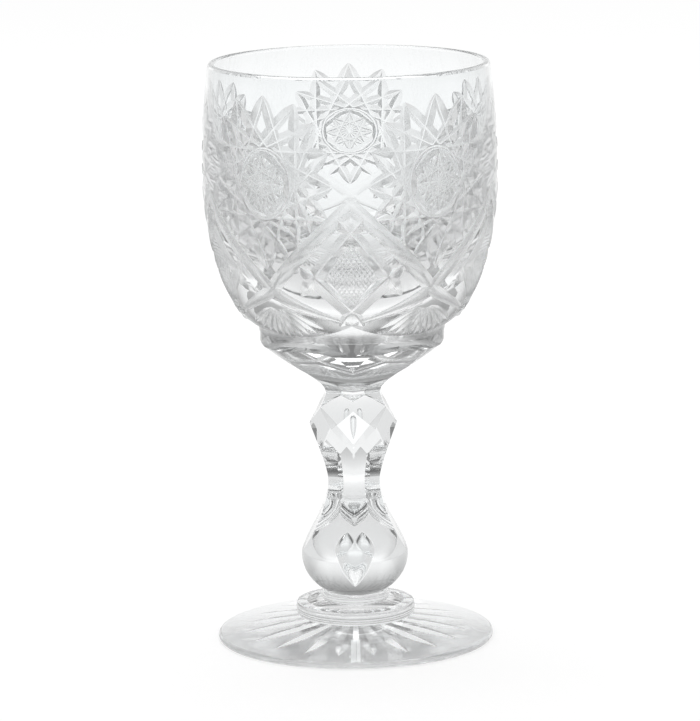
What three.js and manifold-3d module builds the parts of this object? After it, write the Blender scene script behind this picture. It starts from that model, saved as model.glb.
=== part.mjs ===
// A cut glass goblet: five gathers of clear lead glass, joined hot one on top of the other.
// From the table up: the foot, the merese, the wafer, the stem and the bowl.
// Millimetres, +Z up, with the origin on the table under the middle of the foot.
import * as THREE from 'three';
import { mergeVertices } from 'three/addons/utils/BufferGeometryUtils.js';
import Module from 'manifold-3d';

const wasm = await Module();
wasm.setup();

// Foot
const FOOT_RADIUS = 38;
const FOOT_EDGE = 1.9;
const FOOT_HEIGHT = 6.4;
const FOOT_SEAT_RADIUS = 15.6;
const FOOT_RAYS = 20;
const FOOT_RAY_START = 3.5;
const FOOT_RAY_REACH = 29;
const FOOT_RAY_DEPTH = 1.1;
const FOOT_RAY_SKIM = 0.01;

// Merese and wafer, the two glass discs between the foot and the stem
const MERESE_RADIUS = 16.4;
const MERESE_HEIGHT = 4;
const MERESE_TOP_RADIUS = 10.6;
const WAFER_RADIUS = 9.4;
const WAFER_HEIGHT = 2.8;
const WAFER_SEAT_RADIUS = 8;

// Stem, with heights measured from its foot end
const STEM_LENGTH = 56.4;
const STEM_SEAT_RADIUS = 7.9;
const BULB_RADIUS = 14.64;
const BULB_HEIGHT = 10.3;
const BULB_SHOULDER = 16.3;
const FLUTE_END_RISE = 0.8;
const FLUTE_END_LEAN = 1.74;
const FLUTE_END_RUN = 4.2;
const WAIST_HEIGHT = 31.3;
const WAIST_ACROSS = 7.02;
const WAIST_RUN_BELOW = 8;
const WAIST_RUN_ABOVE = 4.8;
const KNOP_HEIGHT = 47.1;
const KNOP_RADIUS = 12.05;
const KNOP_CURVE = 14.7;
const COLUMN_BLANK_RADIUS = 10;
const NECK_ACROSS = 7.4;
const NECK_RUN = 2.1;
const FLUTES = 6;

// Bowl, with heights measured from the neck
const BOWL_HEIGHT = 90.4;
const RIM_RADIUS = 38.2;
const RIM_WALL = 1.8;
const LIP_START = 30;
const BELLY_RADIUS = 40.2;
const BELLY_WALL = 2.4;
const BELLY_HEIGHT = 60.4;
const COLLAR_RADIUS = 25.2;
const COLLAR_HEIGHT = 17;
const CUP_FLOOR_RADIUS = 20.2;
const CAVITY_DROP = 12.7;
const CAVITY_DEPTH = 50;
const LEDGE_LOW = 19.1;
const LEDGE_RISE = 3.8;
const LEDGE_SWEEP = 1.3;
const LEDGE_CLEARANCE = 0.2;

// The cut pattern, which repeats round the bowl
const REPEATS = 5;
const STAR_POINTS = 8;
const STAR_STEP = 3;
const STAR_HEIGHT = 61.7;
const STAR_HALF_WIDTH = 20.6;
const STAR_HALF_HEIGHT = 23.5;
const HOB_HALF_WIDTH = 8.5;
const HOB_HALF_HEIGHT = 9.5;
const MITRE_DEPTH = 0.9;
const MITRE_SLOPE = 1.25;
const MITRE_LIFT = 0.6;
const MITRE_SKIM = 0.05;
const MITRE_SPAN = 11;
const SHORTEST_SHARE = 0.2;
const FRAME_TOP = 59.3;
const FRAME_SIDE = 35.4;
const FRAME_FOOT = 23.2;
const STRAP_DROP = 5.3;
const STRAP_OVERRUN = 3.5;
const STRAP_DEPTH = 0.9;
const STRAP_SLOPE = 2.3;
const FAN_TOP = 28;
const FAN_FOOT = 20.2;
const FAN_RAYS = 5;
const FAN_SPREAD = 12;
const FAN_EYE = 0.12;
const FAN_DEPTH = 0.6;
const LOZENGE_SIDE = 36.4;
const LOZENGE_SPREAD = 16;
const LOZENGE_TOP = 53.5;
const LOZENGE_FOOT = 25.1;
const LOZENGE_OVERRUN = 5.3;
const LOZENGE_RISE = 4;

// Fineness of the facets
const ROUND_STEPS = 40;
const CURVE_STEPS = 6;
const BEAD_STEPS = 4;
const WALL_STEPS = 2;
const CAVITY_STEPS = 9;
const CUT_STEPS = 4;
const HOB_STEPS = 16;
const MERGE_DISTANCE = 1e-4;

const GLASS_COLOUR = 0xe9eeee;
const GLASS_ROUGHNESS = 0.03;

const SECTOR = 360 / REPEATS;
const HALF_SECTOR = SECTOR / 2;
const radians = THREE.MathUtils.degToRad;
const at = (x, y) => new THREE.Vector2(x, y);

// A closed geometry becomes a solid, with its shared corners merged and its faces pointing out.
function solid(geometry) {
  const bare = geometry.clone();
  bare.deleteAttribute('normal');
  bare.deleteAttribute('uv');
  const merged = mergeVertices(bare, MERGE_DISTANCE);
  const vertProperties = new Float32Array(merged.attributes.position.array);
  const corners = [];
  for (let i = 0; i < merged.index.count; i += 3) {
    const [a, b, c] = [0, 1, 2].map((k) => merged.index.getX(i + k));
    if (a !== b && b !== c && c !== a) corners.push(a, b, c);
  }
  const build = (order) => new wasm.Manifold(
    new wasm.Mesh({ numProp: 3, vertProperties, triVerts: new Uint32Array(order) }),
  );
  const first = build(corners);
  return first.volume() > 0 ? first : build(corners.reverse());
}

function fromSolid(body) {
  const mesh = body.getMesh();
  const geometry = new THREE.BufferGeometry();
  geometry.setAttribute('position', new THREE.BufferAttribute(new Float32Array(mesh.vertProperties), 3));
  geometry.setIndex(new THREE.BufferAttribute(new Uint32Array(mesh.triVerts), 1));
  geometry.computeVertexNormals();
  return geometry;
}

// A profile of radius and height, from axis to axis, spun about Z
function turned(profile) {
  return solid(new THREE.LatheGeometry(profile, ROUND_STEPS).rotateX(Math.PI / 2));
}

// A skin over rings of equal count: capped at both ends, or joined round into a closed loop
function skin(rings, isLoop) {
  const count = rings[0].length;
  const positions = rings.flat().flatMap((p) => [p.x, p.y, p.z]);
  const index = [];
  const spans = isLoop ? rings.length : rings.length - 1;
  for (let i = 0; i < spans; i += 1) {
    const here = i * count;
    const next = ((i + 1) % rings.length) * count;
    for (let k = 0; k < count; k += 1) {
      const l = (k + 1) % count;
      index.push(here + k, here + l, next + l, here + k, next + l, next + k);
    }
  }
  const last = (rings.length - 1) * count;
  for (let k = 1; !isLoop && k < count - 1; k += 1) {
    index.push(0, k + 1, k, last, last + k, last + k + 1);
  }
  const geometry = new THREE.BufferGeometry();
  geometry.setAttribute('position', new THREE.Float32BufferAttribute(positions, 3));
  geometry.setIndex(index);
  return solid(geometry);
}

function polar(radius, angle, height) {
  return new THREE.Vector3(radius * Math.sin(radians(angle)), -radius * Math.cos(radians(angle)), height);
}

// A six-sided body whose flats follow a profile of half the width across flats, ridge to the front
function fluted(profile) {
  const rings = profile.map(({ x, y }) => {
    const corner = x / Math.cos(Math.PI / FLUTES);
    return Array.from({ length: FLUTES }, (_, k) => polar(corner, (k * 360) / FLUTES, y));
  });
  return skin(rings, false);
}

function ellipseArc(centre, radii, from, to, steps) {
  const arc = new THREE.EllipseCurve(
    centre.x, centre.y, radii.x, radii.y, radians(from), radians(to), to < from,
  );
  return arc.getPoints(steps);
}

// Foot: a low cone with a thin rounded edge, rayed with cuts underneath
function makeFoot() {
  const half = FOOT_EDGE / 2;
  const edge = ellipseArc(at(FOOT_RADIUS - half, half), at(half, half), -90, 90, BEAD_STEPS);
  const blank = turned([at(0, 0), ...edge, at(FOOT_SEAT_RADIUS, FOOT_HEIGHT), at(0, FOOT_HEIGHT)]);
  let foot = blank;
  for (let k = 0; k < FOOT_RAYS; k += 1) {
    const angle = ((k + 0.5) * 360) / FOOT_RAYS;
    foot = foot.subtract(footRay(angle));
  }
  return foot;
}

// One V cut of the foot's star, deepest at mid length and running out at both ends
function footRay(angle) {
  const side = polar(1, angle + 90, 0);
  const rings = [];
  for (let i = 0; i <= CUT_STEPS; i += 1) {
    const share = i / CUT_STEPS;
    const depth = FOOT_RAY_DEPTH * Math.sin(Math.PI * share) + FOOT_RAY_SKIM;
    const middle = polar(THREE.MathUtils.lerp(FOOT_RAY_START, FOOT_RAY_REACH, share), angle, 0);
    const spread = (depth + MITRE_LIFT) * MITRE_SLOPE;
    rings.push([
      middle.clone().setZ(depth),
      middle.clone().addScaledVector(side, spread).setZ(-MITRE_LIFT),
      middle.clone().addScaledVector(side, -spread).setZ(-MITRE_LIFT),
    ]);
  }
  return skin(rings, false);
}

function makeMerese() {
  const middle = MERESE_HEIGHT / 2;
  const bulge = ellipseArc(
    at(FOOT_SEAT_RADIUS, middle), at(MERESE_RADIUS - FOOT_SEAT_RADIUS, middle), -90, 60, BEAD_STEPS,
  );
  return turned([at(0, 0), ...bulge, at(MERESE_TOP_RADIUS, MERESE_HEIGHT), at(0, MERESE_HEIGHT)]);
}

function makeWafer() {
  const middle = WAFER_HEIGHT / 2;
  const bulge = ellipseArc(
    at(WAFER_SEAT_RADIUS, middle), at(WAFER_RADIUS - WAFER_SEAT_RADIUS, middle), -90, 90, BEAD_STEPS,
  );
  return turned([at(0, 0), ...bulge, at(0, WAFER_HEIGHT)]);
}

// Stem: a turned blank of bulb, column and knop, fluted from the bulb's shoulder to the neck
function stemBlankRadius(height) {
  const rise = height - BULB_HEIGHT;
  const reach = rise < 0 ? bulbDepth() : BULB_SHOULDER;
  const bulb = BULB_RADIUS * Math.sqrt(Math.max(0, 1 - (rise / reach) ** 2));
  const knop = KNOP_RADIUS - (height - KNOP_HEIGHT) ** 2 / (2 * KNOP_CURVE);
  const column = rise > 0 && height < KNOP_HEIGHT ? COLUMN_BLANK_RADIUS : 0;
  return Math.max(bulb, knop, column);
}

// Below its widest point the bulb is an ellipse that meets the wafer at the stem's seat radius
function bulbDepth() {
  return BULB_HEIGHT / Math.sqrt(1 - (STEM_SEAT_RADIUS / BULB_RADIUS) ** 2);
}

function makeStem() {
  const steps = 3 * CURVE_STEPS;
  const outline = Array.from({ length: steps + 1 }, (_, i) => {
    const height = (STEM_LENGTH * i) / steps;
    return at(stemBlankRadius(height), height);
  });
  const blank = turned([at(0, 0), ...outline, at(0, STEM_LENGTH)]);
  const waist = at(WAIST_ACROSS, WAIST_HEIGHT);
  const knop = at(KNOP_RADIUS, KNOP_HEIGHT);
  const bulb = at(BULB_RADIUS, BULB_HEIGHT + FLUTE_END_RISE);
  const shoulder = new THREE.CubicBezierCurve(
    bulb,
    at(BULB_RADIUS - FLUTE_END_LEAN, bulb.y + FLUTE_END_RUN),
    at(WAIST_ACROSS, WAIST_HEIGHT - WAIST_RUN_BELOW),
    waist,
  );
  const column = new THREE.QuadraticBezierCurve(
    waist,
    at(WAIST_ACROSS, WAIST_HEIGHT + WAIST_RUN_ABOVE),
    knop,
  );
  const neck = new THREE.QuadraticBezierCurve(
    knop,
    at(NECK_ACROSS, STEM_LENGTH - NECK_RUN),
    at(NECK_ACROSS, STEM_LENGTH),
  );
  const clear = BULB_RADIUS / Math.cos(Math.PI / FLUTES);
  const flats = [
    at(clear, 0),
    at(clear, BULB_HEIGHT),
    ...shoulder.getPoints(CURVE_STEPS),
    ...column.getPoints(CURVE_STEPS).slice(1),
    ...neck.getPoints(CURVE_STEPS).slice(1),
  ];
  return blank.intersect(fluted(flats));
}

// Bowl: outside radius of the uncut cup at a height, an ellipse below the belly and a parabola above it
function cupRadius(height) {
  const rise = height - BELLY_HEIGHT;
  if (rise > 0) {
    const span = BOWL_HEIGHT - BELLY_HEIGHT;
    return THREE.MathUtils.lerp(BELLY_RADIUS, RIM_RADIUS, (rise / span) ** 2);
  }
  const spread = BELLY_RADIUS - CUP_FLOOR_RADIUS;
  const collarShare = (COLLAR_RADIUS - CUP_FLOOR_RADIUS) / spread;
  const depth = (BELLY_HEIGHT - COLLAR_HEIGHT) / Math.sqrt(1 - collarShare ** 2);
  return CUP_FLOOR_RADIUS + spread * Math.sqrt(Math.max(0, 1 - (rise / depth) ** 2));
}

function cupPoint(angle, height, lift) {
  const step = MITRE_SKIM;
  const slope = (cupRadius(height + step) - cupRadius(height - step)) / (2 * step);
  const length = Math.hypot(1, slope);
  return polar(cupRadius(height) + lift / length, angle, height - (lift * slope) / length);
}

function makeBowl() {
  const rim = RIM_WALL / 2;
  const outside = [];
  for (let i = 0; i <= CURVE_STEPS; i += 1) {
    const share = Math.sin((Math.PI * i) / (2 * CURVE_STEPS));
    const height = COLLAR_HEIGHT + (BELLY_HEIGHT - COLLAR_HEIGHT) * (1 - Math.cos(Math.asin(share)));
    outside.push(at(cupRadius(height), height));
  }
  const upper = BOWL_HEIGHT - rim - BELLY_HEIGHT;
  for (let i = 1; i <= WALL_STEPS; i += 1) {
    const height = BELLY_HEIGHT + (upper * i) / WALL_STEPS;
    outside.push(at(cupRadius(height), height));
  }
  const lip = ellipseArc(at(RIM_RADIUS - rim, BOWL_HEIGHT - rim), at(rim, rim), LIP_START, 180, BEAD_STEPS);
  const middle = BOWL_HEIGHT - CAVITY_DROP;
  const mouth = THREE.MathUtils.radToDeg(Math.asin((CAVITY_DROP - rim) / CAVITY_DEPTH));
  const inside = ellipseArc(
    at(0, middle), at(BELLY_RADIUS - BELLY_WALL, CAVITY_DEPTH), mouth, -90, CAVITY_STEPS,
  );
  const blank = turned([
    at(0, 0), at(COLLAR_RADIUS, 0), ...outside, ...lip, ...inside.slice(1),
  ]);
  let bowl = blank.intersect(underside()).subtract(ledge());
  for (const cut of patternCuts()) bowl = bowl.subtract(cut);
  return bowl;
}

// The six flutes under the collar, flowing out of the neck, open above so that the cup stays round
function underside() {
  const swell = new THREE.CubicBezierCurve(
    at(NECK_ACROSS, 0),
    at(NECK_ACROSS, COLLAR_HEIGHT / 3),
    at(COLLAR_RADIUS, (COLLAR_HEIGHT * 2) / 3),
    at(COLLAR_RADIUS, COLLAR_HEIGHT - LEDGE_CLEARANCE),
  );
  const clear = (BELLY_RADIUS + RIM_WALL) / Math.cos(Math.PI / FLUTES);
  return fluted([
    ...swell.getPoints(CURVE_STEPS),
    at(clear, COLLAR_HEIGHT - LEDGE_CLEARANCE / 2),
    at(clear, BOWL_HEIGHT + RIM_WALL),
  ]);
}

// The notch round the foot of the cup, whose ceiling rises to a point under each frame
function ledge() {
  const clear = BELLY_RADIUS + RIM_WALL;
  const wall = COLLAR_RADIUS + LEDGE_CLEARANCE;
  const base = COLLAR_HEIGHT - LEDGE_CLEARANCE;
  const rings = Array.from({ length: ROUND_STEPS }, (_, k) => {
    const angle = (k * 360) / ROUND_STEPS;
    const away = Math.abs((angle % SECTOR) - HALF_SECTOR) / HALF_SECTOR;
    const ceiling = LEDGE_LOW + LEDGE_RISE * away ** LEDGE_SWEEP;
    return [
      polar(wall, angle, base),
      polar(clear, angle, base),
      polar(clear, angle, ceiling),
      polar(wall, angle, ceiling),
    ];
  });
  return skin(rings, true);
}

// The V of the mitre wheel at a place on the cup, across the way to the place ahead
function wheelSection(place, ahead, sunk, slope) {
  const foot = cupPoint(place.x, place.y, 0);
  const out = cupPoint(place.x, place.y, 1).sub(foot);
  const along = cupPoint(ahead.x, ahead.y, 0).sub(foot);
  const side = new THREE.Vector3().crossVectors(out, along).normalize();
  const spread = (sunk + MITRE_LIFT) * slope;
  const top = cupPoint(place.x, place.y, MITRE_LIFT);
  return [
    cupPoint(place.x, place.y, -sunk),
    top.clone().addScaledVector(side, spread),
    top.clone().addScaledVector(side, -spread),
  ];
}

// A mitre: a V cut along a straight line on the unrolled cup, running out at both ends
function mitre(from, to, depth = MITRE_DEPTH, slope = MITRE_SLOPE) {
  const turn = radians(to.x - from.x) * BELLY_RADIUS;
  const length = Math.hypot(turn, to.y - from.y);
  const spans = Math.max(2, Math.round(length / MITRE_SPAN));
  const shares = Array.from({ length: spans + 1 }, (_, i) => i / spans);
  const rings = shares.map((share) => {
    const sunk = share === 0 || share === 1 ? -MITRE_SKIM : depth;
    const ahead = from.clone().lerp(to, share + MITRE_SKIM);
    return wheelSection(from.clone().lerp(to, share), ahead, sunk, slope);
  });
  return skin(rings, false);
}

// A place on an oval round a belly star's middle, in degrees round the bowl and millimetres up it
function onOval(angle, turn, halfWidth, halfHeight) {
  const round = THREE.MathUtils.radToDeg((halfWidth * Math.sin(turn)) / BELLY_RADIUS);
  return at(angle + round, STAR_HEIGHT + halfHeight * Math.cos(turn));
}

function starChords(angle) {
  const tip = (k) => onOval(angle, (2 * Math.PI * k) / STAR_POINTS, STAR_HALF_WIDTH, STAR_HALF_HEIGHT);
  return Array.from({ length: STAR_POINTS }, (_, k) => [tip(k), tip(k + STAR_STEP)]);
}

// The ring cut round the hob, the raised button in the middle of a star
function hobRing(angle) {
  const place = (turn) => onOval(angle, turn, HOB_HALF_WIDTH, HOB_HALF_HEIGHT);
  const rings = Array.from({ length: HOB_STEPS }, (_, k) => {
    const turn = (2 * Math.PI * k) / HOB_STEPS;
    return wheelSection(place(turn), place(turn + MITRE_SKIM), MITRE_DEPTH, MITRE_SLOPE);
  });
  return skin(rings, true);
}

// The part of a star's chord above both neighbouring frames, or nothing
function aboveFrames([from, to], angle) {
  const slope = (FRAME_TOP - FRAME_SIDE) / HALF_SECTOR;
  let [start, end] = [0, 1];
  for (const side of [-1, 1]) {
    const clear = (p) => p.y - FRAME_SIDE - slope * side * (p.x - angle);
    const [a, b] = [clear(from), clear(to)];
    if (a < 0 && b < 0) return null;
    if (a < 0) start = Math.max(start, a / (a - b));
    if (b < 0) end = Math.min(end, a / (a - b));
  }
  if (end - start < SHORTEST_SHARE) return null;
  return [from.clone().lerp(to, start), from.clone().lerp(to, end)];
}

// The frame's strap, a wide hollow band, and the lozenge inside it, on one side of the frame's middle
function frameLines(angle, side) {
  const place = (turn, height) => at(angle + side * turn, height);
  const fall = (FRAME_TOP - FRAME_SIDE) / HALF_SECTOR;
  const strap = FRAME_TOP - STRAP_DROP / 2;
  const end = HALF_SECTOR + STRAP_OVERRUN;
  return [
    [
      place(-STRAP_OVERRUN, strap + fall * STRAP_OVERRUN),
      place(end, strap - fall * end),
      STRAP_DEPTH,
      STRAP_SLOPE,
    ],
    [place(0, FRAME_FOOT), place(HALF_SECTOR, FRAME_SIDE)],
    [place(-LOZENGE_OVERRUN, LOZENGE_TOP), place(LOZENGE_SPREAD, LOZENGE_SIDE)],
    [
      place(LOZENGE_SPREAD + LOZENGE_OVERRUN, LOZENGE_SIDE + LOZENGE_RISE),
      place(-LOZENGE_OVERRUN, LOZENGE_FOOT),
    ],
  ];
}

// The fan that fills the corner under two crossing straps
function fanRays(angle) {
  const top = at(angle, FAN_TOP);
  return Array.from({ length: FAN_RAYS }, (_, k) => {
    const turn = THREE.MathUtils.lerp(-FAN_SPREAD, FAN_SPREAD, k / (FAN_RAYS - 1));
    const foot = at(angle + turn, FAN_FOOT);
    return [top.clone().lerp(foot, FAN_EYE), foot, FAN_DEPTH];
  });
}

function patternCuts() {
  const lines = [];
  const rings = [];
  for (let k = 0; k < REPEATS; k += 1) {
    const frame = k * SECTOR;
    const belly = frame + HALF_SECTOR;
    lines.push(...starChords(belly).map((line) => aboveFrames(line, belly)).filter(Boolean));
    rings.push(hobRing(belly));
    lines.push(...frameLines(frame, 1), ...frameLines(frame, -1), ...fanRays(belly));
  }
  return [...lines.map((line) => mitre(...line)), ...rings];
}

function glassMaterial() {
  return new THREE.MeshStandardMaterial({
    color: GLASS_COLOUR,
    roughness: GLASS_ROUGHNESS,
    metalness: 0,
  });
}

const goblet = new THREE.Group();
const stack = [
  ['foot', makeFoot, FOOT_HEIGHT],
  ['merese', makeMerese, MERESE_HEIGHT],
  ['wafer', makeWafer, WAFER_HEIGHT],
  ['stem', makeStem, STEM_LENGTH],
  ['bowl', makeBowl, BOWL_HEIGHT],
];
let level = 0;
for (const [name, make, height] of stack) {
  const piece = new THREE.Mesh(fromSolid(make()), glassMaterial());
  piece.name = name;
  piece.position.z = level;
  goblet.add(piece);
  level += height;
}

export default goblet;
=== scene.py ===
# A clear cut glass goblet on a white table, seen from a little above the rim.
import math

import bmesh
import bpy
from mathutils import Matrix, Vector


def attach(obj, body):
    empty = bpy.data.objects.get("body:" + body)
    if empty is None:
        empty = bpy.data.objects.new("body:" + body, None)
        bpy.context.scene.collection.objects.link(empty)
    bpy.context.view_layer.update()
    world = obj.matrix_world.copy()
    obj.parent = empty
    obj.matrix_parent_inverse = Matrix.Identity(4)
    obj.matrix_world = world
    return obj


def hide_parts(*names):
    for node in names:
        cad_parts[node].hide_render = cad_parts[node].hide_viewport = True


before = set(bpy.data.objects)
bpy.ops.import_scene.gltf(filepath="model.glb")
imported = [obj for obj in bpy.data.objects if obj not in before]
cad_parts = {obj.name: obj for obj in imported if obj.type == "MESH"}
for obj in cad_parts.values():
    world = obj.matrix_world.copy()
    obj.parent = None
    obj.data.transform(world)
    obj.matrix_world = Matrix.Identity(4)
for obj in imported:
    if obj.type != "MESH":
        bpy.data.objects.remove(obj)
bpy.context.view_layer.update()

# Lengths are in millimetres, with heights from the table, until a piece is finished, and then in metres.
# Angles are in degrees.
MM = 0.001

# Foot
FOOT_RADIUS = 38.0
FOOT_EDGE = 1.9
FOOT_TOP = 6.4
FOOT_SEAT_RADIUS = 15.6
FOOT_RAYS = 20
FOOT_RAY_START = 2.0
FOOT_RAY_REACH = 30.5
FOOT_RAY_DEPTH = 1.1
FOOT_RAY_SLOPE = 1.9
FOOT_RAY_LEAN = 1.6

# Merese and wafer, the two glass discs between foot and stem
MERESE_RADIUS = 16.4
MERESE_TOP = 10.4
MERESE_TOP_RADIUS = 10.6
MERESE_LIP = 60.0
WAFER_RADIUS = 9.4
WAFER_TOP = 13.2
WAFER_SEAT_RADIUS = 8.0

# Stem
STEM_TOP = 69.6
STEM_SEAT_RADIUS = 7.9
BULB_RADIUS = 14.64
BULB_HEIGHT = 23.5
BULB_SHOULDER = 16.3
FLUTE_END_RISE = 0.8
FLUTE_END_LEAN = 1.74
FLUTE_END_RUN = 4.2
WAIST_HEIGHT = 44.5
WAIST_ACROSS = 7.02
WAIST_RUN_BELOW = 8.0
WAIST_RUN_ABOVE = 4.8
KNOP_HEIGHT = 60.3
KNOP_RADIUS = 12.05
KNOP_CURVE = 14.7
COLUMN_BLANK_RADIUS = 10.0
NECK_ACROSS = 7.4
NECK_RUN = 2.1
FLUTES = 6

# Air tears inside the stem: height and radius of the widest place, run up, run down, power of the top
KNOP_TEAR = (61.4, 0.95, 1.5, 5.2, 0.5)
BULB_TEAR = (23.2, 3.2, 4.8, 4.9, 1.1)
TEAR_TAIL_POWER = 0.9

# Bowl
BOWL_TOP = 160.0
RIM_RADIUS = 38.2
RIM_WALL = 1.8
LIP_START = 30.0
BELLY_RADIUS = 40.2
BELLY_HEIGHT = 130.0
COLLAR_RADIUS = 25.2
COLLAR_HEIGHT = 86.6
COLLAR_LOW = 83.9
UNDERSIDE_BENDS = ((7.6, 72.6), (13.0, 75.8))
BLANK_BENDS = ((9.2, 72.6), (16.0, 75.4))
BLANK_LOW = 83.1
CUP_FLOOR_RADIUS = 20.2
CAVITY_RADIUS = 37.8
CAVITY_HEIGHT = 147.3
CAVITY_DEPTH = 50.0
LEDGE_LOW = 88.7
LEDGE_RISE = 3.8
LEDGE_SWEEP = 2.5
LEDGE_CLEARANCE = 0.2

# Stars, measured on the unrolled cup, each with a hob, the raised button in its middle
REPEATS = 5
STAR_POINTS = 16
STAR_STEP = 6
STAR_HEIGHT = 131.3
STAR_HALF_WIDTH = 20.6
STAR_HALF_HEIGHT = 23.5
STAR_BULGE = 0.75
STAR_DEPTH = 0.95
HOB_SHARE = 0.355
HOB_RING_SHARE = 0.405
HOB_RING_DEPTH = 1.2
HOB_RING_SLOPE = 0.9
HOB_POINTS = 8
HOB_STEP = 3
HOB_DEPTH = 0.42
HOB_SLOPE = 1.5
HOB_RAY_RUN = 30.0
HOB_CHORD_RUN = 2.0
SHORTEST_CHORD = 0.1

# Straps: hollow bands, each from the middle of one frame down to the foot of the next
STRAP_TOP = 129.0
STRAP_SIDE = 105.0
STRAP_DROP = 5.3
STRAP_OVERRUN = 2.6
STRAP_BEND = (47.0, 97.9)
STRAP_FOOT = 92.8
STRAP_HALF_WIDTH = 2.15
STRAP_END_HALF_WIDTH = 0.6
STRAP_LEAST_SHARE = 0.03
STRAP_DEPTH = 0.6
STRAP_RUN = 2.5
STRAP_STEPS = 6

# Lozenge in each frame, in degrees from the frame's middle and millimetres up
LOZENGE_TOP = 118.7
LOZENGE_SIDE = 106.0
LOZENGE_FOOT = 96.2
LOZENGE_SPREAD = 16.0
LOZENGE_OVERRUN = 6.0
LOZENGE_DEPTH = 1.25
HATCH_END_INSET = 0.08
HATCH_SIDE_INSET = 0.3
HATCH_LINES = 11
HATCH_DEPTH = 0.4
HATCH_RUN = 0.8

# Fans under the crossing straps
FAN_HEIGHT = 98.0
FAN_FOOT = 88.4
FAN_RISE = 3.2
FAN_RAYS = 11
FAN_SPREAD = 44.0
FAN_DEPTH = 0.6
FAN_START = 0.12
FAN_RUN = 4.0

# Mitre wheel: half the width of its V and of its worn tip per millimetre of depth, and its run-out
MITRE_SLOPE = 1.55
MITRE_FLAT = 0.2
MITRE_RUN = 5.0

# Cutters: how far their backs and their ends stand out of the glass, and their steps along a path
CUTTER_LIFT = 0.5
CUTTER_SKIM = 0.03
CUTTER_SPAN = 3.0
RUN_SHARES = (0.0, 0.12, 0.3, 0.55, 1.0)

# Share of a path's length to look ahead for its direction
LOOK_AHEAD = 0.03

# Fineness, and what counts as small, sharp or level
ROUND_STEPS = 240
CURVE_STEPS = 40
BEAD_STEPS = 30
HOB_RING_STEPS = 64
SMALL_STEP = 0.03
SHARP_ANGLE = 10.0
LEVEL_NORMAL = 0.999

SECTOR = 360.0 / REPEATS
HALF_SECTOR = SECTOR / 2


def polar(radius, angle, height):
    """A point at an angle in degrees, with 0 at the front and 90 to the right."""
    turn = math.radians(angle)
    return Vector((radius * math.sin(turn), -radius * math.cos(turn), height))


def mix(a, b, share):
    return a + (b - a) * share


def blend_point(a, b, share):
    return (mix(a[0], b[0], share), mix(a[1], b[1], share))


def bezier(points, steps):
    """Points along a Bezier curve of any degree."""
    curve = []
    for i in range(steps + 1):
        row = list(points)
        while len(row) > 1:
            row = [blend_point(a, b, i / steps) for a, b in zip(row, row[1:])]
        curve.append(row[0])
    return curve


def ellipse_arc(centre, radii, start, end, steps):
    points = []
    for i in range(steps + 1):
        turn = math.radians(mix(start, end, i / steps))
        points.append((centre[0] + radii[0] * math.cos(turn), centre[1] + radii[1] * math.sin(turn)))
    return points


# Node helpers
def node_math(tree, operation, first, second):
    """A maths node on two values, each a number or another node's output."""
    node = tree.nodes.new("ShaderNodeMath")
    node.operation = operation
    for socket, value in zip(node.inputs, (first, second)):
        if isinstance(value, (int, float)):
            socket.default_value = value
        else:
            tree.links.new(value, socket)
    return node.outputs[0]


def node_ramp(tree, value, low, high):
    """0 below low and 1 above high, with a smooth step between; low may be above high."""
    node = tree.nodes.new("ShaderNodeMapRange")
    node.interpolation_type = "SMOOTHSTEP"
    node.inputs["From Min"].default_value = low
    node.inputs["From Max"].default_value = high
    tree.links.new(value, node.inputs["Value"])
    return node.outputs["Result"]


def node_blend(tree, share, low, high):
    """From low to high as share goes from 0 to 1."""
    node = tree.nodes.new("ShaderNodeMapRange")
    node.inputs["To Min"].default_value = low
    node.inputs["To Max"].default_value = high
    tree.links.new(share, node.inputs["Value"])
    return node.outputs["Result"]


def node_noise(tree, scale):
    """Soft patches from 0 to 1 over the object."""
    place = tree.nodes.new("ShaderNodeTexCoord")
    noise = tree.nodes.new("ShaderNodeTexNoise")
    noise.inputs["Scale"].default_value = scale
    tree.links.new(place.outputs["Object"], noise.inputs["Vector"])
    return noise.outputs[0]


# Materials: each surface's least and most roughness, the scales of grain and waves, and the waves' height
GLASS_TINT = (0.978, 0.99, 0.993, 1)
GLASS_INDEX = 1.54
POLISHED_ROUGHNESS = (0.0, 0.02)
CUT_ROUGHNESS = (0.17, 0.24)
WORN_ROUGHNESS = (0.16, 0.24)
HOLLOW_ROUGHNESS = (0.24, 0.31)
GRAIN_SCALE = 8000.0
GRAIN_SPAN = (0.4, 0.6)
WAVE_SCALE = 110.0
WAVE_HEIGHT = 0.00004


def lead_glass(name, roughness):
    """Clear lead glass with faint waves and a fine grain of specks, from the low to the high roughness."""
    material = bpy.data.materials.new(name)
    material.use_nodes = True
    tree = material.node_tree
    shader = tree.nodes["Principled BSDF"]
    shader.inputs["Base Color"].default_value = GLASS_TINT
    shader.inputs["IOR"].default_value = GLASS_INDEX
    shader.inputs["Transmission Weight"].default_value = 1.0
    grain = node_ramp(tree, node_noise(tree, GRAIN_SCALE), *GRAIN_SPAN)
    polish = node_blend(tree, grain, *roughness)
    tree.links.new(polish, shader.inputs["Roughness"])
    waves = tree.nodes.new("ShaderNodeBump")
    waves.inputs["Distance"].default_value = WAVE_HEIGHT
    tree.links.new(node_noise(tree, WAVE_SCALE), waves.inputs["Height"])
    tree.links.new(waves.outputs["Normal"], shader.inputs["Normal"])
    return material


def seal():
    """Faces inside the glass where two pieces are fused: light goes straight through."""
    material = bpy.data.materials.new("fused_seal")
    material.use_nodes = True
    nodes = material.node_tree.nodes
    nodes.remove(nodes["Principled BSDF"])
    clear = nodes.new("ShaderNodeBsdfTransparent")
    material.node_tree.links.new(clear.outputs[0], nodes["Material Output"].inputs["Surface"])
    return material


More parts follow.
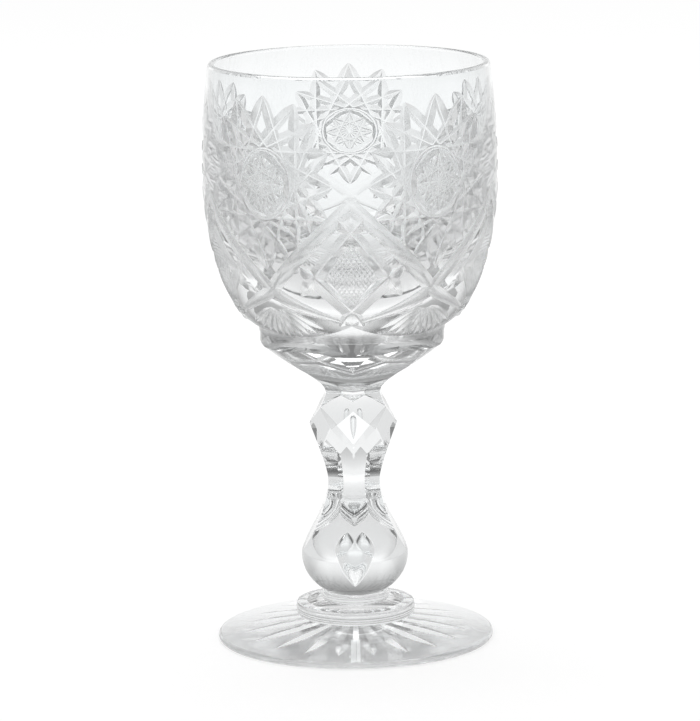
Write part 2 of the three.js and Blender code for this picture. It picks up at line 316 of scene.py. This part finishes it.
SURFACES = (
    lead_glass("polished_glass", POLISHED_ROUGHNESS),
    lead_glass("cut_glass", CUT_ROUGHNESS),
    lead_glass("worn_glass", WORN_ROUGHNESS),
    lead_glass("hollow_glass", HOLLOW_ROUGHNESS),
    seal(),
)
POLISHED, CUT, WORN, HOLLOW, FUSED = range(len(SURFACES))


def new_object(name, points, faces):
    mesh = bpy.data.meshes.new(name)
    mesh.from_pydata(points, [], faces)
    mesh.update()
    for surface in SURFACES:
        mesh.materials.append(surface)
    obj = bpy.data.objects.new(name, mesh)
    bpy.context.scene.collection.objects.link(obj)
    return obj


def turned(name, outline):
    """Spins an outline of radius and height that starts and ends on the axis."""
    count = ROUND_STEPS
    points = [Vector((0, 0, outline[0][1]))]
    for radius, height in outline[1:-1]:
        points += [polar(radius, 360 * k / count, height) for k in range(count)]
    points.append(Vector((0, 0, outline[-1][1])))
    faces = []
    rings = len(outline) - 2
    for k in range(count):
        after = (k + 1) % count
        faces.append((0, 1 + after, 1 + k))
        for ring in range(rings - 1):
            here = 1 + ring * count
            above = here + count
            faces.append((here + k, here + after, above + after, above + k))
        last = 1 + (rings - 1) * count
        faces.append((last + k, last + after, len(points) - 1))
    return new_object(name, points, faces)


def skin_faces(ring_count, ring_size, start, is_loop):
    """Faces over rings of points: capped at both ends, or joined round into a closed loop."""
    faces = []
    spans = ring_count if is_loop else ring_count - 1
    for i in range(spans):
        here = start + i * ring_size
        above = start + ((i + 1) % ring_count) * ring_size
        for k in range(ring_size):
            after = (k + 1) % ring_size
            faces.append((here + k, here + after, above + after, above + k))
    if not is_loop:
        last = start + (ring_count - 1) * ring_size
        faces.append(tuple(start + k for k in reversed(range(ring_size))))
        faces.append(tuple(last + k for k in range(ring_size)))
    return faces


def skins(name, bodies, is_loop=False, surface=CUT):
    """One object from several skins that don't meet in the glass. What it cuts takes its surface."""
    points = []
    faces = []
    for rings in bodies:
        faces += skin_faces(len(rings), len(rings[0]), len(points), is_loop)
        points += [p for ring in rings for p in ring]
    obj = new_object(name, points, faces)
    obj.data.polygons.foreach_set("material_index", [surface] * len(faces))
    face_out(obj.data)
    return obj


def face_out(mesh):
    shape = bmesh.new()
    shape.from_mesh(mesh)
    bmesh.ops.recalc_face_normals(shape, faces=shape.faces)
    shape.to_mesh(mesh)
    shape.free()


def combine(body, tool, operation):
    """Joins, cuts or intersects body with tool, and removes tool."""
    change = body.modifiers.new("change", "BOOLEAN")
    change.solver = "MANIFOLD"
    change.operation = operation
    change.object = tool
    graph = bpy.context.evaluated_depsgraph_get()
    mesh = bpy.data.meshes.new_from_object(body.evaluated_get(graph))
    body.modifiers.remove(change)
    old = body.data
    body.data = mesh
    bpy.data.meshes.remove(old)
    old_tool = tool.data
    bpy.data.objects.remove(tool)
    bpy.data.meshes.remove(old_tool)


def fluted(outline, turn=0.0):
    """A six-sided body from half its width across the flats, with a ridge to the front or at a turn."""
    rings = []
    for across, height in outline:
        corner = across / math.cos(math.pi / FLUTES)
        rings.append([polar(corner, turn + 360 * k / FLUTES, height) for k in range(FLUTES)])
    return skins("flutes", [rings], surface=POLISHED)


# Foot: a low cone with a thin rounded edge, rayed with cuts underneath
def make_foot():
    half = FOOT_EDGE / 2
    edge = ellipse_arc((FOOT_RADIUS - half, half), (half, half), -90, 90, BEAD_STEPS)
    foot = turned("foot_glass", [(0, 0), *edge, (FOOT_SEAT_RADIUS, FOOT_TOP), (0, FOOT_TOP)])
    for k in range(FOOT_RAYS):
        ray = skins("ray", [foot_ray((k + 0.5) * 360 / FOOT_RAYS)], surface=WORN)
        combine(foot, ray, "DIFFERENCE")
    return foot


def foot_ray(angle):
    """A V cut of the foot's star, deepest past mid length and running out at both ends."""
    side = polar(1, angle + 90, 0)
    rings = []
    for i in range(CURVE_STEPS // 2 + 1):
        share = 2 * i / CURVE_STEPS
        depth = FOOT_RAY_DEPTH * math.sin(math.pi * share ** FOOT_RAY_LEAN) + CUTTER_SKIM
        middle = polar(mix(FOOT_RAY_START, FOOT_RAY_REACH, share), angle, 0)
        spread = side * (depth + CUTTER_LIFT) * FOOT_RAY_SLOPE
        low = Vector((0, 0, -CUTTER_LIFT))
        rings.append([middle + Vector((0, 0, depth)), middle + spread + low, middle - spread + low])
    return rings


def make_merese():
    middle = (FOOT_TOP + MERESE_TOP) / 2
    radii = (MERESE_RADIUS - FOOT_SEAT_RADIUS, (MERESE_TOP - FOOT_TOP) / 2)
    bulge = ellipse_arc((FOOT_SEAT_RADIUS, middle), radii, -90, MERESE_LIP, BEAD_STEPS)
    top = bezier([bulge[-1], (FOOT_SEAT_RADIUS, MERESE_TOP), (MERESE_TOP_RADIUS, MERESE_TOP)], BEAD_STEPS)
    return turned("merese_glass", [(0, FOOT_TOP), *bulge, *top[1:], (0, MERESE_TOP)])


def make_wafer():
    middle = (MERESE_TOP + WAFER_TOP) / 2
    radii = (WAFER_RADIUS - WAFER_SEAT_RADIUS, (WAFER_TOP - MERESE_TOP) / 2)
    bulge = ellipse_arc((WAFER_SEAT_RADIUS, middle), radii, -90, 90, BEAD_STEPS)
    return turned("wafer_glass", [(0, MERESE_TOP), *bulge, (0, WAFER_TOP)])


# Stem: a turned blank of bulb, column and knop, fluted from the bulb's shoulder to the neck
def stem_blank_radius(height):
    rise = height - BULB_HEIGHT
    below = (BULB_HEIGHT - WAFER_TOP) / math.sqrt(1 - (STEM_SEAT_RADIUS / BULB_RADIUS) ** 2)
    reach = below if rise < 0 else BULB_SHOULDER
    bulb = BULB_RADIUS * math.sqrt(max(0.0, 1 - (rise / reach) ** 2))
    knop = KNOP_RADIUS - (height - KNOP_HEIGHT) ** 2 / (2 * KNOP_CURVE)
    column = COLUMN_BLANK_RADIUS if 0 < rise and height < KNOP_HEIGHT else 0.0
    return max(bulb, knop, column)


def make_stem():
    steps = 3 * CURVE_STEPS
    heights = [mix(WAFER_TOP, STEM_TOP, i / steps) for i in range(steps + 1)]
    outline = [(stem_blank_radius(h), h) for h in heights]
    stem = turned("stem_glass", [(0, WAFER_TOP), *outline, (0, STEM_TOP)])
    waist = (WAIST_ACROSS, WAIST_HEIGHT)
    knop = (KNOP_RADIUS, KNOP_HEIGHT)
    bulb = (BULB_RADIUS, BULB_HEIGHT + FLUTE_END_RISE)
    lean = (BULB_RADIUS - FLUTE_END_LEAN, bulb[1] + FLUTE_END_RUN)
    shoulder = bezier([bulb, lean, (WAIST_ACROSS, WAIST_HEIGHT - WAIST_RUN_BELOW), waist], CURVE_STEPS)
    column = bezier([waist, (WAIST_ACROSS, WAIST_HEIGHT + WAIST_RUN_ABOVE), knop], CURVE_STEPS)
    neck = bezier([knop, (NECK_ACROSS, STEM_TOP - NECK_RUN), (NECK_ACROSS, STEM_TOP)], CURVE_STEPS)
    clear = BULB_RADIUS / math.cos(math.pi / FLUTES)
    flats = [(clear, WAFER_TOP), (clear, BULB_HEIGHT), *shoulder, *column[1:], *neck[1:]]
    combine(stem, fluted(flats), "INTERSECT")
    combine(stem, diamonds(), "INTERSECT")
    for tear in (KNOP_TEAR, BULB_TEAR):
        combine(stem, air_tear(*tear), "DIFFERENCE")
    return stem


def diamonds():
    """Six flats round the knop that meet at their side corners, open below so that the bulb stays round."""
    across = KNOP_RADIUS * math.cos(math.pi / FLUTES)
    clear = 2 * BULB_RADIUS
    below = [(clear, 0), (clear, WAIST_HEIGHT)]
    knop = [(across, WAIST_HEIGHT + CUTTER_LIFT), (across, STEM_TOP + CUTTER_LIFT)]
    return fluted([*below, *knop], turn=180 / FLUTES)


def air_tear(height, radius, rise, fall, top_power):
    """A drop of air, drawn to a point below its widest place; a low power makes its top round."""
    outline = []
    for i in range(1, 2 * BEAD_STEPS):
        share = i / BEAD_STEPS - 1
        reach, power = (rise, top_power) if share > 0 else (fall, TEAR_TAIL_POWER)
        outline.append((radius * (1 - share * share) ** power, height + reach * share))
    return turned("tear", [(0, height - fall), *outline, (0, height + rise)])


# Bowl: outside radius of the uncut cup at a height, an ellipse below the belly and a parabola above it
def cup_radius(height):
    rise = height - BELLY_HEIGHT
    if rise > 0:
        return mix(BELLY_RADIUS, RIM_RADIUS, (rise / (BOWL_TOP - BELLY_HEIGHT)) ** 2)
    spread = BELLY_RADIUS - CUP_FLOOR_RADIUS
    collar_share = (COLLAR_RADIUS - CUP_FLOOR_RADIUS) / spread
    depth = (BELLY_HEIGHT - COLLAR_HEIGHT) / math.sqrt(1 - collar_share ** 2)
    return CUP_FLOOR_RADIUS + spread * math.sqrt(max(0.0, 1 - (rise / depth) ** 2))


def cup_point(place, lift=0.0):
    """A point on the cup, or above it, from degrees round it and millimetres up."""
    angle, height = place
    slope = (cup_radius(height + SMALL_STEP) - cup_radius(height - SMALL_STEP)) / (2 * SMALL_STEP)
    length = math.hypot(1, slope)
    return polar(cup_radius(height) + lift / length, angle, height - lift * slope / length)


def make_bowl():
    rim = RIM_WALL / 2
    outside = []
    for i in range(CURVE_STEPS + 1):
        height = mix(COLLAR_HEIGHT, BELLY_HEIGHT, 1 - math.cos(math.pi * i / (2 * CURVE_STEPS)))
        outside.append((cup_radius(height), height))
    for i in range(1, CURVE_STEPS // 2 + 1):
        height = mix(BELLY_HEIGHT, BOWL_TOP - rim, 2 * i / CURVE_STEPS)
        outside.append((cup_radius(height), height))
    lip = ellipse_arc((RIM_RADIUS - rim, BOWL_TOP - rim), (rim, rim), LIP_START, 180, BEAD_STEPS)
    mouth = math.degrees(math.asin((BOWL_TOP - rim - CAVITY_HEIGHT) / CAVITY_DEPTH))
    hollow = (CAVITY_RADIUS, CAVITY_DEPTH)
    inside = ellipse_arc((0, CAVITY_HEIGHT), hollow, mouth, -90, 2 * CURVE_STEPS)
    neck = (NECK_ACROSS / math.cos(math.pi / FLUTES), STEM_TOP)
    base = bezier([neck, *BLANK_BENDS, (COLLAR_RADIUS, BLANK_LOW)], CURVE_STEPS)
    bowl = turned("bowl_glass", [(0, STEM_TOP), *base, *outside, *lip[:-1], *inside])
    combine(bowl, underside(), "INTERSECT")
    combine(bowl, ledge(), "DIFFERENCE")
    hobs = [hob_ring(k * SECTOR + HALF_SECTOR) for k in range(REPEATS)]
    combine(bowl, skins("hobs", hobs, is_loop=True), "DIFFERENCE")
    for surface, cutters in pattern_cuts():
        combine(bowl, skins("cuts", cutters, surface=surface), "DIFFERENCE")
    return bowl


def underside():
    """The six flutes under the collar, flowing out of the neck, open above so that the cup stays round."""
    swell = bezier([(NECK_ACROSS, STEM_TOP), *UNDERSIDE_BENDS, (COLLAR_RADIUS, COLLAR_LOW)], CURVE_STEPS)
    clear = (BELLY_RADIUS + RIM_WALL) / math.cos(math.pi / FLUTES)
    return fluted([*swell, (clear, COLLAR_LOW + LEDGE_CLEARANCE), (clear, BOWL_TOP + RIM_WALL)])


def ledge():
    """The notch round the foot of the cup, whose ceiling rises to a point under each frame."""
    clear = BELLY_RADIUS + RIM_WALL
    wall = COLLAR_RADIUS + LEDGE_CLEARANCE
    base = COLLAR_HEIGHT - LEDGE_CLEARANCE
    rings = []
    for k in range(ROUND_STEPS):
        angle = 360 * k / ROUND_STEPS
        away = abs(angle % SECTOR - HALF_SECTOR) / HALF_SECTOR
        ceiling = LEDGE_LOW + LEDGE_RISE * away ** LEDGE_SWEEP
        corners = [(wall, base), (clear, base), (clear, ceiling), (wall, ceiling)]
        rings.append([polar(radius, angle, height) for radius, height in corners])
    return skins("ledge", [rings], is_loop=True)


# The cut pattern, as paths in degrees round the cup and millimetres up
def path_length(path):
    return sum((cup_point(b) - cup_point(a)).length for a, b in zip(path, path[1:]))


def along(path, share):
    """The place at a share of a path's length; a share over 1 runs straight on past the end."""
    spans = [(cup_point(b) - cup_point(a)).length for a, b in zip(path, path[1:])]
    left = share * sum(spans)
    for a, b, span in zip(path, path[1:], spans):
        if left <= span or b is path[-1]:
            break
        left -= span
    return blend_point(a, b, left / span)


def wheel_section(place, ahead, sunk, slope, flat):
    """The V of a mitre wheel with its worn tip, at a place on the cup and across the way ahead."""
    out = cup_point(place, 1) - cup_point(place)
    side = out.cross(cup_point(ahead) - cup_point(place)).normalized()
    spread = side * (flat + (sunk + CUTTER_LIFT) * slope)
    tip = cup_point(place, -sunk)
    top = cup_point(place, CUTTER_LIFT)
    return [tip - side * flat, tip + side * flat, top + spread, top - spread]


def stations(length, run):
    """Distances along a cut, close together where the wheel comes down and lifts off."""
    ends = [run * share for share in RUN_SHARES]
    spans = max(1, round((length - 2 * run) / CUTTER_SPAN))
    middle = [mix(run, length - run, i / spans) for i in range(1, spans)]
    after = [length - end for end in reversed(ends)]
    if length - 2 * run < SMALL_STEP:
        after = after[1:]
    return [*ends, *middle, *after]


def mitre(path, depth, slope=MITRE_SLOPE, run=MITRE_RUN):
    """A V cut along a path on the cup, running out at both ends as the wheel lifts off."""
    length = path_length(path)
    run = min(run, length / 2)
    rings = []
    for station in stations(length, run):
        near = min(station, length - station, run)
        sunk = depth * (1 - (1 - near / run) ** 2) - CUTTER_SKIM
        share = station / length
        place = along(path, share)
        ahead = along(path, share + LOOK_AHEAD)
        rings.append(wheel_section(place, ahead, sunk, slope, depth * MITRE_FLAT))
    return rings


def strap(path):
    """A hollow band along a path, cut with a round-edged wheel."""
    length = path_length(path)
    first_angle = path[0][0]
    rings = []
    for station in stations(length, STRAP_RUN):
        near = min(station, length - station, STRAP_RUN)
        down = 1 - (1 - near / STRAP_RUN) ** 2
        share = station / length
        place = along(path, share)
        foot = cup_point(place)
        out = cup_point(place, 1) - foot
        side = out.cross(cup_point(along(path, share + LOOK_AHEAD)) - foot).normalized()
        half = strap_half_width(abs(place[0] - first_angle)) * math.sqrt(max(down, STRAP_LEAST_SHARE))
        hollow = []
        for k in range(BEAD_STEPS + 1):
            across = 2 * k / BEAD_STEPS - 1
            sunk = STRAP_DEPTH * down * (1 - across * across) - CUTTER_SKIM
            hollow.append(foot + side * (half * across) - out * sunk)
        back = [foot + side * half + out * CUTTER_LIFT, foot - side * half + out * CUTTER_LIFT]
        rings.append([*hollow, *back])
    return rings


def star_tip(angle, turn, share=1.0, bulge_by=1.0):
    """A place on the outline of the star at an angle, or within it, at a turn from the star's top."""
    swing = math.radians(turn)
    bulge = math.copysign(abs(math.sin(swing)) ** bulge_by, math.sin(swing))
    round_by = math.degrees(STAR_HALF_WIDTH * share * bulge / BELLY_RADIUS)
    return (angle + round_by, STAR_HEIGHT + STAR_HALF_HEIGHT * share * math.cos(swing))


def star_chord(angle, k):
    step = 360 / STAR_POINTS
    return [star_tip(angle, end * step, bulge_by=STAR_BULGE) for end in (k, k + STAR_STEP)]


def hob_chord(angle, k):
    step = 360 / HOB_POINTS
    ends = (k * step, (k + HOB_STEP) * step)
    return [star_tip(angle, turn, HOB_SHARE) for turn in ends]


def hob_ray(angle, k):
    turn = k * 360 / STAR_POINTS
    return [star_tip(angle, turn, HOB_SHARE), star_tip(angle, turn + 180, HOB_SHARE)]


def hob_ring(angle):
    """The ring cut round the hob of the star at an angle."""
    turns = [360 * i / HOB_RING_STEPS for i in range(HOB_RING_STEPS)]
    places = [star_tip(angle, turn, HOB_RING_SHARE) for turn in turns]
    ahead = places[1:] + places[:1]
    flat = HOB_RING_DEPTH * MITRE_FLAT
    return [wheel_section(a, b, HOB_RING_DEPTH, HOB_RING_SLOPE, flat) for a, b in zip(places, ahead)]


def above_straps(path, angle):
    """The part of a star's chord above both neighbouring straps, or None where too little is left."""
    slope = (STRAP_TOP - STRAP_SIDE) / HALF_SECTOR
    start, end = 0.0, 1.0
    for side in (-1, 1):
        a, b = (p[1] - STRAP_SIDE - slope * side * (p[0] - angle) for p in path)
        if a < 0 and b < 0:
            return None
        if a < 0:
            start = max(start, a / (a - b))
        if b < 0:
            end = min(end, a / (a - b))
    if end - start < SHORTEST_CHORD:
        return None
    return [blend_point(*path, start), blend_point(*path, end)]


def mirrored(path, side):
    return [(side * angle, height) for angle, height in path]


def strap_path():
    """The middle of a strap, from just past a frame's top down to the foot of the next frame."""
    fall = (STRAP_TOP - STRAP_SIDE) / HALF_SECTOR
    top = STRAP_TOP - STRAP_DROP / 2
    start = (-STRAP_OVERRUN, top + fall * STRAP_OVERRUN)
    corner = (HALF_SECTOR, top - fall * HALF_SECTOR)
    return [start, *bezier([corner, STRAP_BEND, (SECTOR, STRAP_FOOT)], STRAP_STEPS)]


def strap_half_width(angle):
    """Half the width of a strap, which narrows past the corner of its frame."""
    return mix(STRAP_HALF_WIDTH, STRAP_END_HALF_WIDTH, max(0.0, angle / HALF_SECTOR - 1))


def lozenge_edges():
    """The two mitres that bound a lozenge on its right, each run on past its corners."""
    rise = (LOZENGE_TOP - LOZENGE_SIDE) / LOZENGE_SPREAD
    fall = (LOZENGE_SIDE - LOZENGE_FOOT) / LOZENGE_SPREAD
    upper = [
        (-LOZENGE_OVERRUN, LOZENGE_TOP + rise * LOZENGE_OVERRUN),
        (LOZENGE_SPREAD + LOZENGE_OVERRUN, LOZENGE_SIDE - rise * LOZENGE_OVERRUN),
    ]
    lower = [
        (LOZENGE_SPREAD + LOZENGE_OVERRUN, LOZENGE_SIDE + fall * LOZENGE_OVERRUN),
        (-LOZENGE_OVERRUN, LOZENGE_FOOT - fall * LOZENGE_OVERRUN),
    ]
    return upper, lower


def hatch_line(i, side):
    """A fine cut across the lozenge, beside its upper edge on one side."""
    share = (i + 0.5) / HATCH_LINES
    middle = (0, (LOZENGE_TOP + LOZENGE_FOOT) / 2)
    top, foot = (blend_point((0, end), middle, HATCH_END_INSET) for end in (LOZENGE_TOP, LOZENGE_FOOT))
    reach = side * LOZENGE_SPREAD
    left, right = (blend_point((end, LOZENGE_SIDE), middle, HATCH_SIDE_INSET) for end in (-reach, reach))
    return [blend_point(top, left, share), blend_point(right, foot, share)]


def fan_ray(i):
    """A cut of the fan under two crossing straps."""
    share = 2 * i / (FAN_RAYS - 1) - 1
    foot = (HALF_SECTOR + FAN_SPREAD / 2 * share, FAN_FOOT + FAN_RISE * share * share)
    return [blend_point((HALF_SECTOR, FAN_HEIGHT), foot, FAN_START), foot]


def round_the_cup(make_path):
    """The same path in every repeat of the pattern; a path that is None is left out."""
    paths = [make_path(k * SECTOR) for k in range(REPEATS)]
    return [path for path in paths if path]


def turned_by(path, angle):
    return [(a + angle, h) for a, h in path]


def star_cuts():
    """The long chords of the stars, and the rays and chords of their hobs."""
    groups = []
    for k in range(STAR_POINTS // 2):
        belly = []
        for j in (k, k + STAR_POINTS // 2):
            belly += round_the_cup(lambda a: above_straps(star_chord(a + HALF_SECTOR, j), a + HALF_SECTOR))
        if belly:
            groups.append((CUT, [mitre(p, STAR_DEPTH) for p in belly]))
        rays = round_the_cup(lambda a: hob_ray(a + HALF_SECTOR, k))
        groups.append((HOLLOW, [mitre(p, HOB_DEPTH, HOB_SLOPE, HOB_RAY_RUN) for p in rays]))
        chords = round_the_cup(lambda a: hob_chord(a + HALF_SECTOR, k))
        groups.append((HOLLOW, [mitre(p, HOB_DEPTH, HOB_SLOPE, HOB_CHORD_RUN) for p in chords]))
    return groups


def lozenge_cuts():
    """The edges of the lozenges and the hatch inside, whose lines go by turns into two groups."""
    groups = []
    for side in (-1, 1):
        for edge in lozenge_edges():
            paths = round_the_cup(lambda a: turned_by(mirrored(edge, side), a))
            groups.append((CUT, [mitre(p, LOZENGE_DEPTH) for p in paths]))
        for parity in (0, 1):
            lines = []
            for i in range(parity, HATCH_LINES, 2):
                lines += round_the_cup(lambda a: turned_by(hatch_line(i, side), a))
            groups.append((CUT, [mitre(p, HATCH_DEPTH, run=HATCH_RUN) for p in lines]))
    return groups


def fan_cuts():
    groups = []
    for i in range(FAN_RAYS):
        paths = round_the_cup(lambda a: turned_by(fan_ray(i), a))
        groups.append((CUT, [mitre(p, FAN_DEPTH, run=FAN_RUN) for p in paths]))
    return groups


def strap_cuts():
    groups = []
    for side in (-1, 1):
        paths = round_the_cup(lambda a: turned_by(mirrored(strap_path(), side), a))
        groups.append((HOLLOW, [strap(p) for p in paths]))
    return groups


def pattern_cuts():
    """Groups of cutters with the surface that each leaves. Cutters of one group don't meet in the glass."""
    return [*star_cuts(), *lozenge_cuts(), *fan_cuts(), *strap_cuts()]


def finish_piece(obj, node, flats):
    """Shades a piece, gives its level faces at given heights their surfaces and hands it to the frame."""
    mesh = obj.data
    for face in mesh.polygons:
        is_level = abs(face.normal.z) > LEVEL_NORMAL
        for height, surface in flats.items():
            if is_level and abs(face.center.z - height) < SMALL_STEP:
                face.material_index = surface
    mesh.shade_smooth()
    mesh.set_sharp_from_angle(angle=math.radians(SHARP_ANGLE))
    mesh.transform(Matrix.Scale(MM, 4))
    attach(obj, "root")
    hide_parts(node)


# Setting, in metres. Camera at the photograph's angle: focal length in pixels, sensor in millimetres
IMAGE_HEIGHT = 721
SENSOR = 36.0
FOCAL_PIXELS = 4304.7
CAMERA_PLACE = (0.0, -1.1583, 0.2983)
CAMERA_PITCH = 10.796
CAMERA_ROLL = -0.75
CAMERA_YAW = 0.033
CAMERA_CLIP = (0.01, 50.0)

# White table: its paint and glow, and how bright it is in the glass, plain, and with painted pools of light
# behind it and under the foot
FLOOR_RADIUS = 6.0
FLOOR_DROP = 0.00005
FLOOR_PAINT = 0.3
FLOOR_GLOW = 0.73
FLOOR_GLOW_IN_GLASS = 0.46
PAINTED_LIGHT_BEHIND = 0.74
PAINTED_LIGHT_BEHIND_SPREAD = 0.35
PAINTED_LIGHT_BEHIND_START = 0.0
PAINTED_LIGHT_BEHIND_FADE = 0.25
PAINTED_LIGHT_BELOW_REACH = 0.036
PAINTED_LIGHT_BELOW_FADE = 0.01
PAINTED_LIGHT_BELOW_FOOT = 0.9

# Surroundings: even light, and in the glass a bright wall behind, dimmer above, in front and aside
AMBIENT_LEVEL = 0.75
WALL_LEVEL = 0.95
WALL_LOW = 0.0
WALL_HIGH = 0.6
TOP_LEVEL = 0.2
FRONT_SHADE = 0.7
FRONT_NEAR = -0.6
FRONT_FAR = 0.2
SIDE_SHADE = 0.7
SIDE_NEAR = 0.4
SIDE_FAR = 0.8

# Lamp, and how often light may bounce or pass through glass
KEY_LIGHT_PLACE = (-0.1, 0.55, 1.5)
KEY_LIGHT_SIZE = (1.4, 1.0)
KEY_LIGHT_POWER = 9.0
LIGHT_AIM = (0.0, 0.0, 0.08)
LIGHT_BOUNCES = 40


def add_camera():
    camera = bpy.data.cameras.new("camera")
    camera.sensor_width = SENSOR
    camera.lens = FOCAL_PIXELS * SENSOR / IMAGE_HEIGHT
    obj = bpy.data.objects.new("camera", camera)
    bpy.context.scene.collection.objects.link(obj)
    turn = Matrix.Rotation(math.radians(CAMERA_YAW), 4, "Z")
    pitch = Matrix.Rotation(math.radians(90 - CAMERA_PITCH), 4, "X")
    roll = Matrix.Rotation(math.radians(CAMERA_ROLL), 4, "Z")
    obj.matrix_world = Matrix.Translation(CAMERA_PLACE) @ turn @ pitch @ roll
    camera.clip_start, camera.clip_end = CAMERA_CLIP
    bpy.context.scene.camera = obj


def add_floor():
    """A white table, evenly bright, that the glass sees with painted light: brighter in a wedge behind it
    and under its foot.
    """
    points = [polar(FLOOR_RADIUS, 360 * k / ROUND_STEPS, -FLOOR_DROP) for k in range(ROUND_STEPS)]
    floor = new_object("floor", points, [tuple(range(ROUND_STEPS))])
    material = bpy.data.materials.new("white_table")
    material.use_nodes = True
    tree = material.node_tree
    tree.nodes.remove(tree.nodes["Principled BSDF"])
    paint = tree.nodes.new("ShaderNodeBsdfDiffuse")
    paint.inputs["Color"].default_value = (FLOOR_PAINT, FLOOR_PAINT, FLOOR_PAINT, 1)
    path = tree.nodes.new("ShaderNodeLightPath")
    bent = node_math(tree, "MAXIMUM", path.outputs["Is Glossy Ray"], path.outputs["Is Transmission Ray"])
    to_camera = node_math(tree, "MULTIPLY", path.outputs["Is Camera Ray"], FLOOR_GLOW)
    place = tree.nodes.new("ShaderNodeTexCoord")
    split = tree.nodes.new("ShaderNodeSeparateXYZ")
    tree.links.new(place.outputs["Object"], split.inputs[0])
    bearing = node_math(tree, "DIVIDE", split.outputs["X"], split.outputs["Y"])
    spread = node_math(tree, "ABSOLUTE", bearing, 0)
    # Painted light: a pool of light on the table in a wedge behind the glass, shown only to rays bent by
    # the glass
    painted_light_behind = node_math(
        tree,
        "MULTIPLY",
        node_ramp(tree, spread, PAINTED_LIGHT_BEHIND_SPREAD + PAINTED_LIGHT_BEHIND_FADE, PAINTED_LIGHT_BEHIND_SPREAD),
        node_ramp(tree, split.outputs["Y"], PAINTED_LIGHT_BEHIND_START, PAINTED_LIGHT_BEHIND_START + PAINTED_LIGHT_BEHIND_FADE),
    )
    reach = tree.nodes.new("ShaderNodeVectorMath")
    reach.operation = "LENGTH"
    tree.links.new(place.outputs["Object"], reach.inputs[0])
    # Painted light: a brighter pool on the table right under the foot, shown only to rays bent by the glass
    under = node_ramp(tree, reach.outputs["Value"], PAINTED_LIGHT_BELOW_REACH + PAINTED_LIGHT_BELOW_FADE, PAINTED_LIGHT_BELOW_REACH)
    seen = node_blend(tree, painted_light_behind, FLOOR_GLOW_IN_GLASS, PAINTED_LIGHT_BEHIND)
    seen = node_math(tree, "MAXIMUM", seen, node_math(tree, "MULTIPLY", under, PAINTED_LIGHT_BELOW_FOOT))
    to_glass = node_math(tree, "MULTIPLY", bent, seen)
    glow = tree.nodes.new("ShaderNodeEmission")
    tree.links.new(node_math(tree, "ADD", to_camera, to_glass), glow.inputs["Strength"])
    both = tree.nodes.new("ShaderNodeAddShader")
    tree.links.new(paint.outputs[0], both.inputs[0])
    tree.links.new(glow.outputs[0], both.inputs[1])
    tree.links.new(both.outputs[0], tree.nodes["Material Output"].inputs["Surface"])
    floor.data.materials.clear()
    floor.data.materials.append(material)


def add_world():
    """Even light on the table; in the glass, a bright wall behind, dimmer above, in front and aside."""
    world = bpy.data.worlds.new("studio")
    world.use_nodes = True
    bpy.context.scene.world = world
    tree = world.node_tree
    place = tree.nodes.new("ShaderNodeTexCoord")
    split = tree.nodes.new("ShaderNodeSeparateXYZ")
    tree.links.new(place.outputs["Generated"], split.inputs[0])
    across, deep, up = split.outputs
    level = node_blend(tree, node_ramp(tree, up, WALL_LOW, WALL_HIGH), WALL_LEVEL, TOP_LEVEL)
    shade = node_blend(tree, node_ramp(tree, deep, FRONT_NEAR, FRONT_FAR), FRONT_SHADE, 1.0)
    level = node_math(tree, "MULTIPLY", level, shade)
    aside = node_math(tree, "ABSOLUTE", across, 0)
    shade = node_blend(tree, node_ramp(tree, aside, SIDE_NEAR, SIDE_FAR), 1.0, SIDE_SHADE)
    level = node_math(tree, "MULTIPLY", level, shade)
    path = tree.nodes.new("ShaderNodeLightPath")
    bent = node_math(tree, "MAXIMUM", path.outputs["Is Glossy Ray"], path.outputs["Is Transmission Ray"])
    plain = node_math(tree, "SUBTRACT", 1.0, bent)
    level = node_math(tree, "MULTIPLY", level, bent)
    level = node_math(tree, "ADD", level, node_math(tree, "MULTIPLY", plain, AMBIENT_LEVEL))
    tree.links.new(level, tree.nodes["Background"].inputs["Strength"])
    tree.nodes["Background"].inputs["Color"].default_value = (1, 1, 1, 1)


def add_light(name, place, size, power):
    light = bpy.data.lights.new(name, "AREA")
    light.shape = "RECTANGLE"
    light.size, light.size_y = size
    light.energy = power
    obj = bpy.data.objects.new(name, light)
    bpy.context.scene.collection.objects.link(obj)
    obj.location = place
    aim = Vector(LIGHT_AIM) - Vector(place)
    obj.rotation_euler = aim.to_track_quat("-Z", "Y").to_euler()


finish_piece(make_foot(), "foot", {0: WORN, FOOT_TOP: FUSED})
finish_piece(make_merese(), "merese", {FOOT_TOP: FUSED, MERESE_TOP: FUSED})
finish_piece(make_wafer(), "wafer", {MERESE_TOP: FUSED, WAFER_TOP: FUSED})
finish_piece(make_stem(), "stem", {WAFER_TOP: FUSED, STEM_TOP: FUSED})
finish_piece(make_bowl(), "bowl", {STEM_TOP: FUSED})

add_camera()
add_floor()
add_world()
add_light("key_light", KEY_LIGHT_PLACE, KEY_LIGHT_SIZE, KEY_LIGHT_POWER)

scene = bpy.context.scene
scene.view_settings.view_transform = "Standard"
scene.cycles.max_bounces = LIGHT_BOUNCES
scene.cycles.transmission_bounces = LIGHT_BOUNCES
scene.cycles.glossy_bounces = LIGHT_BOUNCES
scene.cycles.transparent_max_bounces = LIGHT_BOUNCES
